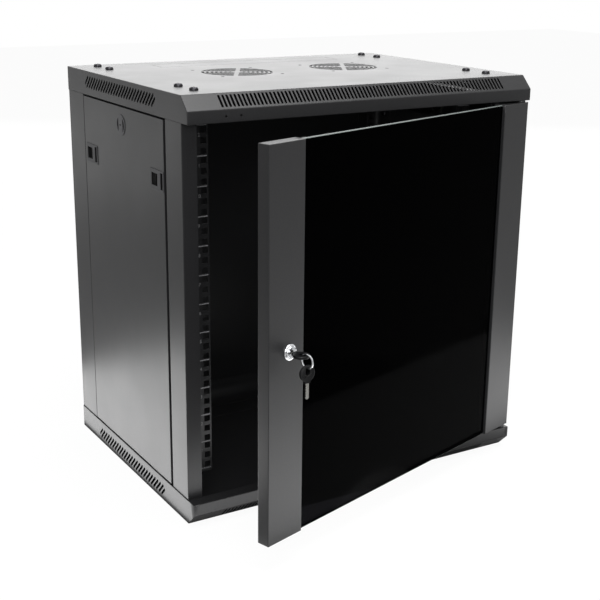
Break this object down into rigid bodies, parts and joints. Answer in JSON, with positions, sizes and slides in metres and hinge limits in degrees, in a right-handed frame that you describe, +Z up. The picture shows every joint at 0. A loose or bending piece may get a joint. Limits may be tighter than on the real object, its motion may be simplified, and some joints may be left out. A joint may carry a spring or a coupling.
{
  "type": "network server rack cabinet",
  "caption": "Wall-mount network rack cabinet: black steel body with vented cap and base, fan grilles, square-hole rails, lift-off side panels and a keyed glass door.",
  "frame": {"origin": "on the floor under the middle of the cabinet's body, halfway between its sides and halfway along its 450 mm depth", "axes": "+X to the right seen from the front, +Y from the front door to the rear panel, +Z up"},
  "size_m": [0.6, 0.6483, 0.6394],
  "materials": {
    "black_powder_coat": "fine-textured satin black powder coat",
    "black_screw_steel": "black zinc-plated steel, satin",
    "zinc_plated_steel": "bright zinc plating",
    "chrome": "polished",
    "key_steel": "nickel-plated, lightly brushed",
    "key_plastic": "moulded black, satin",
    "black_plastic": "moulded black, satin",
    "rubber": "matte",
    "foam_tape": "black closed-cell foam tape, matte",
    "tinted_glass": "dark tinted toughened glass, polished"
  },
  "bodies": {
    "cabinet": {"top_cap": "black_powder_coat", "base_tray": "black_powder_coat", "front_left_post": "black_powder_coat", "front_right_post": "black_powder_coat", "rear_left_post": "black_powder_coat", "rear_right_post": "black_powder_coat", "panel_seat_beams": "black_powder_coat", "depth_beams": "black_powder_coat", "front_left_rail": "black_powder_coat", "front_right_rail": "black_powder_coat", "rear_left_rail": "black_powder_coat", "rear_right_rail": "black_powder_coat", "rear_panel": "black_powder_coat", "cap_screws": "black_screw_steel", "cap_nuts": "zinc_plated_steel", "base_screws": "black_screw_steel", "rail_bolts": "black_screw_steel", "rail_nuts": "zinc_plated_steel", "ground_stud": "zinc_plated_steel", "ground_nut": "zinc_plated_steel", "hinge_bushes": "black_plastic"},
    "door": {"door_lock_stile": "black_powder_coat", "door_hinge_stile": "black_powder_coat", "door_glass": "tinted_glass", "glass_bonding_strips": "foam_tape", "door_hinge_pins": "zinc_plated_steel", "door_bumpers": "rubber", "lock_housing": "chrome", "lock_nut": "zinc_plated_steel"},
    "lock_barrel": {"lock_plug": "chrome", "lock_cam": "zinc_plated_steel", "cam_screw": "zinc_plated_steel"},
    "key": {"key_bow": "key_plastic", "key_blade": "key_steel"},
    "ring": {"key_ring": "chrome"},
    "spare_key": {"spare_key_bow": "key_plastic", "spare_key_blade": "key_steel"},
    "left_panel": {"left_side_panel": "black_powder_coat", "left_latch_housings": "black_plastic", "left_panel_lock": "black_plastic", "left_panel_lock_nut": "zinc_plated_steel"},
    "left_front_slider": {"left_front_latch": "black_plastic"},
    "left_rear_slider": {"left_rear_latch": "black_plastic"},
    "left_panel_barrel": {"left_panel_lock_plug": "black_screw_steel", "left_panel_lock_cam": "zinc_plated_steel"},
    "right_panel": {"right_side_panel": "black_powder_coat", "right_latch_housings": "black_plastic", "right_panel_lock": "black_plastic", "right_panel_lock_nut": "zinc_plated_steel"},
    "right_front_slider": {"right_front_latch": "black_plastic"},
    "right_rear_slider": {"right_rear_latch": "black_plastic"},
    "right_panel_barrel": {"right_panel_lock_plug": "black_screw_steel", "right_panel_lock_cam": "zinc_plated_steel"}
  },
  "joints": [
    {"name": "door_hinge", "type": "hinge", "parent": "cabinet", "child": "door", "pos_m": [0.289, -0.216, 0.3175], "axis": [0, 0, 1], "range_deg": [-16.8, 163.2]},
    {"name": "lock_turn", "type": "hinge", "parent": "door", "child": "lock_barrel", "pos_m": [-0.23253, -0.38286, 0.3156], "axis": [0.289, -0.9573, 0], "range_deg": [-90, 0]},
    {"name": "key_slide", "type": "slide", "parent": "lock_barrel", "child": "key", "axis": [0.289, -0.9573, 0], "range_m": [0, 0.03]},
    {"name": "ring_swing", "type": "hinge", "parent": "key", "child": "ring", "pos_m": [-0.22351, -0.41273, 0.3156], "axis": [0.289, -0.9573, 0], "range_deg": [-20, 20]},
    {"name": "spare_key_swing", "type": "hinge", "parent": "ring", "child": "spare_key", "pos_m": [-0.22351, -0.41273, 0.30041], "axis": [0.289, -0.9573, 0], "range_deg": [-45, 45]},
    {"name": "left_panel_tilt", "type": "hinge", "parent": "cabinet", "child": "left_panel", "pos_m": [-0.2988, 0.0077, 0.0396], "axis": [0, -1, 0], "range_deg": [0, 30]},
    {"name": "left_front_latch_slide", "type": "slide", "parent": "left_panel", "child": "left_front_slider", "axis": [0, 1, 0], "range_m": [-0.008, 0]},
    {"name": "left_rear_latch_slide", "type": "slide", "parent": "left_panel", "child": "left_rear_slider", "axis": [0, -1, 0], "range_m": [-0.008, 0]},
    {"name": "left_panel_lock_turn", "type": "hinge", "parent": "left_panel", "child": "left_panel_barrel", "pos_m": [-0.2988, 0.0077, 0.567], "axis": [1, 0, 0], "range_deg": [-90, 0]},
    {"name": "right_panel_tilt", "type": "hinge", "parent": "cabinet", "child": "right_panel", "pos_m": [0.2988, 0.0077, 0.0396], "axis": [0, 1, 0], "range_deg": [0, 30]},
    {"name": "right_front_latch_slide", "type": "slide", "parent": "right_panel", "child": "right_front_slider", "axis": [0, 1, 0], "range_m": [-0.008, 0]},
    {"name": "right_rear_latch_slide", "type": "slide", "parent": "right_panel", "child": "right_rear_slider", "axis": [0, -1, 0], "range_m": [-0.008, 0]},
    {"name": "right_panel_lock_turn", "type": "hinge", "parent": "right_panel", "child": "right_panel_barrel", "pos_m": [0.2988, 0.0077, 0.567], "axis": [1, 0, 0], "range_deg": [-90, 0]}
  ]
}
